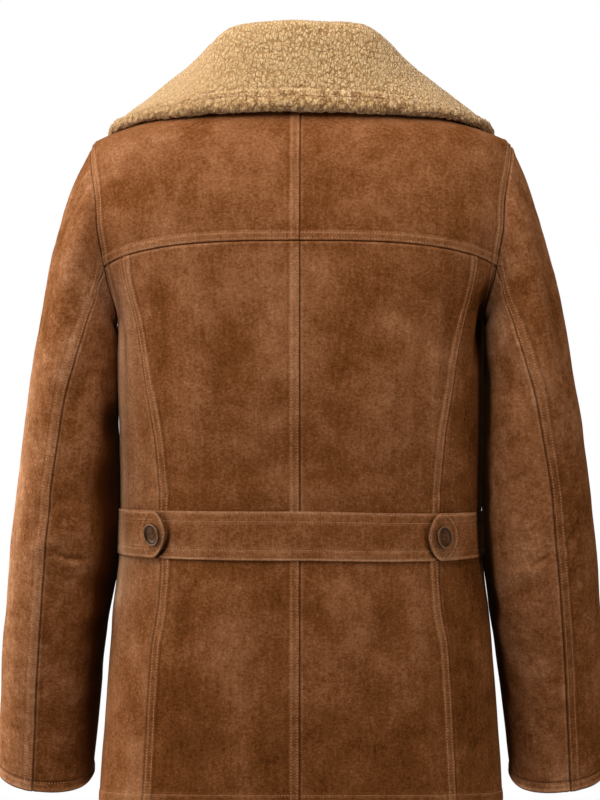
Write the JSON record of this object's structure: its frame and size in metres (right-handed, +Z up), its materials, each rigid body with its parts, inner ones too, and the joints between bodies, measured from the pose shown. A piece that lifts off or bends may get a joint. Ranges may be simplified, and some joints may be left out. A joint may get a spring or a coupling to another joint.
{
  "type": "suede jacket",
  "caption": "Hollow suede jacket with a wide turned-down fleece collar, a half belt with buttoned tabs across the back, a yoke and princess seams.",
  "frame": {"origin": "midway between the two shoulder points at the neck, where the wearer's shoulders hold the jacket up", "axes": "+Z up, the front faces -Y, the wearer's left is +X"},
  "size_m": [0.68, 0.3078, 0.8493],
  "materials": {
    "suede": "brown suede with a soft, uneven nap",
    "fleece": "dense curly fleece, honey beige",
    "horn": "polished dark brown horn look"
  },
  "bodies": {
    "root": {"back_yoke_left": "suede", "back_yoke_right": "suede", "back_center_left": "suede", "back_center_right": "suede", "back_side_left": "suede", "back_side_right": "suede", "front_left": "suede", "front_right": "suede", "sleeve_upper_left": "suede", "sleeve_upper_right": "suede", "sleeve_under_left": "suede", "sleeve_under_right": "suede", "belt_center": "suede", "belt_tab_left": "suede", "belt_tab_right": "suede", "collar": "fleece", "belt_button_left": "horn", "belt_button_right": "horn", "front_button_1": "horn", "front_button_2": "horn", "front_button_3": "horn", "front_button_4": "horn"}
  },
  "joints": []
}
